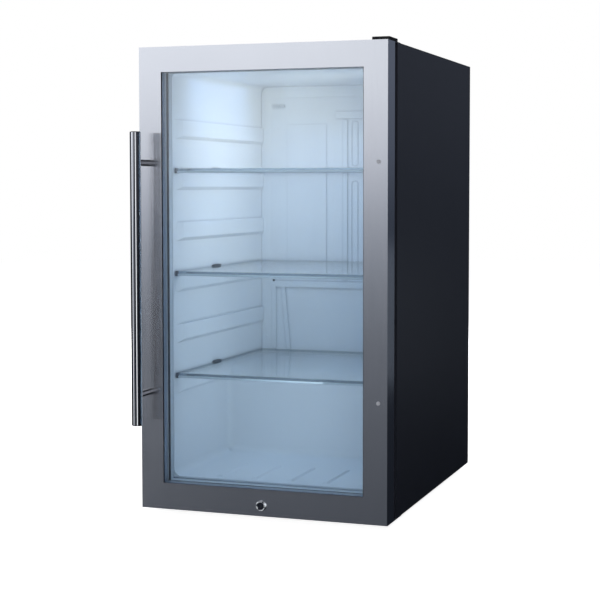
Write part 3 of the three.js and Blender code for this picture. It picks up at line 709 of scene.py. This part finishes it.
def wire_condenser(materials):
    """The upright wires welded behind the condenser tube as cooling fins."""
    low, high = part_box("condenser_coil")
    wire = 0.8 * MM
    mesh_data = bmesh.new()
    for x in spread(low.x + 14 * MM, high.x - 14 * MM, 27):
        add_rod(mesh_data, (x, high.y + wire * 0.8, low.z + 46 * MM),
                (x, high.y + wire * 0.8, high.z - 2 * MM), wire, 6)
    piece_from(mesh_data, "condenser_wires", "cabinet", materials["black_paint"])


# ------------------------------------------------------------------- the stage

def make_camera():
    """The camera at the photograph's viewing angle, turned and tilted down in degrees."""
    turned, tilted = 18.7341, 3.3637
    data = bpy.data.cameras.new("camera")
    data.lens = 86.256
    data.sensor_width = 36.0
    data.shift_x = -0.05
    data.shift_y = -0.05
    camera = bpy.data.objects.new("camera", data)
    camera.location = (0.94649, -2.68382, 0.61145)
    camera.rotation_euler = (math.radians(90 - tilted), 0.0, math.radians(turned))
    bpy.context.scene.collection.objects.link(camera)
    bpy.context.scene.camera = camera


def glow_by_height(tree, rise):
    """The studio's colour by the Z of a direction: white walls, dark below and overhead."""
    levels = [
        (-0.50, (0.05, 0.055, 0.06)), (-0.20, (0.12, 0.13, 0.15)), (-0.09, (0.20, 0.215, 0.245)),
        (-0.03, (0.38, 0.41, 0.47)), (0.03, (1.0, 1.03, 1.1)), (0.09, (1.3, 1.33, 1.38)),
        (0.36, (1.2, 1.2, 1.25)), (0.45, (0.1, 0.1, 0.12)),
    ]
    height = add_node(tree, "ShaderNodeMapRange", {
        "Value": rise, "From Min": -0.5, "From Max": 0.5})
    return ramp(tree, height.outputs[0], [(0.5 + level, colour) for level, colour in levels])


def glow_by_heading(tree, east, north):
    """The studio's brightness by heading, in degrees: 0 is the front and 90 the right."""
    dim = (0.10, 0.113, 0.142)
    dark = (0.04, 0.045, 0.06)
    walls = [
        (-168, dim), (-155, 0.5), (-125, 0.5), (-110, dark),
        (-76, dark), (-60, 1.0), (-10, 1.0), (-5, 0.12), (-3, dark),
        (15, dark), (28, 0.3), (50, 0.28), (60, dark),
        (80, dark), (95, 0.2), (130, dim),
    ]
    forward = add_node(tree, "ShaderNodeMath", {0: north, 1: -1.0}, operation="MULTIPLY")
    heading = add_node(tree, "ShaderNodeMath", {0: east, 1: forward.outputs[0]},
                       operation="ARCTAN2")
    turn = add_node(tree, "ShaderNodeMapRange", {
        "Value": heading.outputs[0], "From Min": -math.pi, "From Max": math.pi})
    return ramp(tree, turn.outputs[0], [(0.5 + angle / 360, level) for angle, level in walls])


def make_world():
    """A white studio to the camera; to the object, soft white walls, the brightest front left."""
    world = bpy.data.worlds.new("studio")
    bpy.context.scene.world = world
    world.use_nodes = True
    tree = world.node_tree
    tree.nodes.clear()
    direction = add_node(tree, "ShaderNodeTexCoord").outputs["Generated"]
    split = add_node(tree, "ShaderNodeSeparateXYZ", {0: direction}).outputs
    glow = glow_by_height(tree, split["Z"])
    around = glow_by_heading(tree, split["X"], split["Y"])
    studio = add_node(tree, "ShaderNodeBackground", {"Color": multiply(tree, glow, around)})
    backdrop = add_node(tree, "ShaderNodeBackground", {"Color": (*WHITE, 1.0)})
    seen = add_node(tree, "ShaderNodeLightPath").outputs["Is Camera Ray"]
    mixed = add_node(tree, "ShaderNodeMixShader", {
        0: seen, 1: studio.outputs[0], 2: backdrop.outputs[0]})
    output = add_node(tree, "ShaderNodeOutputWorld")
    tree.links.new(mixed.outputs[0], output.inputs["Surface"])


def make_light(name, place, target, size, power, colour=WHITE):
    """A soft rectangular light aimed at a point, which the camera doesn't see."""
    data = bpy.data.lights.new(name, "AREA")
    data.shape = "RECTANGLE"
    data.size, data.size_y = size
    data.energy = power
    data.color = colour
    light = bpy.data.objects.new(name, data)
    light.location = place
    aim = Vector(target) - Vector(place)
    light.rotation_euler = aim.to_track_quat("-Z", "Y").to_euler()
    light.visible_camera = False
    bpy.context.scene.collection.objects.link(light)
    return light


def light_studio():
    """An overhead softbox, two fills, and two tall strips whose reflections run down the handle."""
    softbox, bluish = (1.0, 1.0, 1.03), (0.75, 0.85, 1.0)
    overhead = make_light("overhead", (0.3, -1.2, 2.6), (0, 0, 0.4), (2.2, 1.6), 45.0, softbox)
    overhead.visible_glossy = False
    make_light("side_fill", (1.6, 1.9, 0.15), (0.24, 0.1, 0.15), (1.2, 0.5), 0.45, bluish)
    make_light("back_fill", (-1.3, 2.8, 1.3), (0, 0.3, 0.4), (1.6, 1.6), 60.0)
    low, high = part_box("handle_bar")
    bar = (low + high) / 2
    for name, heading, distance, width, power in (
        ("left_strip", -50, 2.0, 0.45, 5.0),
        ("right_strip", 29, 2.9, 1.00, 15.5),
    ):
        angle = math.radians(heading)
        place = bar + Vector((math.sin(angle), -math.cos(angle), 0)) * distance
        make_light(name, place, bar, (width, 2.2), power)


def light_interior():
    """The lamp on the right wall, and the cool glow of the white room round it."""
    lens_low, lens_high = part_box("lamp_lens")
    lamp = (lens_low + lens_high) / 2
    lamp.x = lens_low.x - 6 * MM
    room_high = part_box("liner")[1]
    ceiling = room_high.z - 12 * MM
    right = room_high.x - 10 * MM
    door_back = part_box("door_core")[1].y
    warm, pale = (1.0, 0.87, 0.64), (0.98, 0.94, 0.89)
    white, cool = (0.9, 0.96, 1.0), (0.32, 0.55, 1.0)
    bulb = make_light("lamp", lamp, (-0.2, 0.1, 0.62), (0.06, 0.09), 0.37, warm)
    ceiling_glow = make_light("ceiling_glow", (-0.05, 0, ceiling), (-0.08, 0, 0), (0.30, 0.34),
                              0.50, cool)
    front_glow = make_light("front_glow", (0.08, door_back, 0.28), (-0.22, 0.05, 0.34),
                            (0.2, 0.3), 0.22, white)
    right_glow = make_light("right_glow", (right, -0.1, 0.60), (-0.2, -0.06, 0.60),
                            (0.20, 0.28), 0.43, pale)
    for light, beam in ((bulb, 100), (ceiling_glow, 130), (front_glow, 130), (right_glow, 130)):
        light.visible_glossy = False
        light.data.spread = math.radians(beam)


def make_floor():
    """A plain pale floor that fades into the white backdrop."""
    mesh_data = bmesh.new()
    bmesh.ops.create_circle(mesh_data, cap_ends=True, segments=96, radius=9.0)
    mesh = bpy.data.meshes.new("floor")
    mesh_data.to_mesh(mesh)
    mesh_data.free()
    floor = bpy.data.objects.new("floor", mesh)
    bpy.context.scene.collection.objects.link(floor)
    material, tree, output = new_material("pale_floor")
    surface = add_node(tree, "ShaderNodeBsdfDiffuse", {"Color": (0.8, 0.8, 0.81, 1.0)})
    glow = add_node(tree, "ShaderNodeEmission", {"Color": (*WHITE, 1.0), "Strength": 0.93})
    both = add_node(tree, "ShaderNodeAddShader", {0: surface.outputs[0], 1: glow.outputs[0]})
    seen = add_node(tree, "ShaderNodeLightPath").outputs["Is Camera Ray"]
    mixed = add_node(tree, "ShaderNodeMixShader", {
        0: seen, 1: surface.outputs[0], 2: both.outputs[0]})
    tree.links.new(mixed.outputs[0], output.inputs["Surface"])
    mesh.materials.append(material)
    floor.visible_glossy = False


# ----------------------------------------------------------------- the assembly

# The CAD nodes with rounded edges, and the width of each rounding in millimetres.
SOFTENED = {
    "door_skin": 1.2, "door_core": 0.8, "left_side_panel": 1.0, "right_side_panel": 1.0,
    "top_panel": 1.0, "base_plate": 0.6, "face_frame": 0.5, "hinge_cover": 1.2,
    "handle_bar": 0.8, "shelf_trim_lower": 1.0, "shelf_trim_middle": 1.0,
    "shelf_trim_upper": 1.0, "control_box": 1.2, "evaporator_cover": 0.8, "junction_box": 1.0,
    "drain_pan": 1.0, "light_switch": 0.6, "top_hinge": 0.4, "bottom_hinge": 0.4,
    "lock_housing": 1.2, "hole_plug_upper": 0.5, "hole_plug_lower": 0.5, "lock_plug": 0.5,
}


def dress_cad(materials):
    """Finishes, smooth shading and rounded edges for the nodes that the CAD brings."""
    dress_cad_nodes(materials)
    for node in NODES.values():
        smooth_by_angle(node.data)
    for name, width in SOFTENED.items():
        soften_edges(name, width * MM)


def add_pieces(materials):
    """The small pieces that the CAD leaves out."""
    for level in ("lower", "middle", "upper"):
        cap_shelf_trim(level, materials)
        paint_trim_highlight(level, materials)
    add_temperature_sensor(materials)
    edge_room_mouth(materials)
    seal_evaporator_cover(materials)
    mark_thermostat(materials)
    add_keyhole_shade(materials)
    add_lock_bezel(materials)
    add_glazing_beads(materials)
    add_gap_shade_lip(materials)
    add_inner_lip(materials)
    screw_evaporator_cover(materials)
    screw_back_panel(materials)
    screw_bottom_hinge(materials)
    wire_condenser(materials)


finishes = make_materials()
dress_cad(finishes)
add_pieces(finishes)
make_camera()
make_world()
light_studio()
light_interior()
make_floor()
bpy.context.scene.view_settings.view_transform = "Standard"
# A ray through the door and the shelves crosses many clear faces.
bpy.context.scene.cycles.transparent_max_bounces = 32
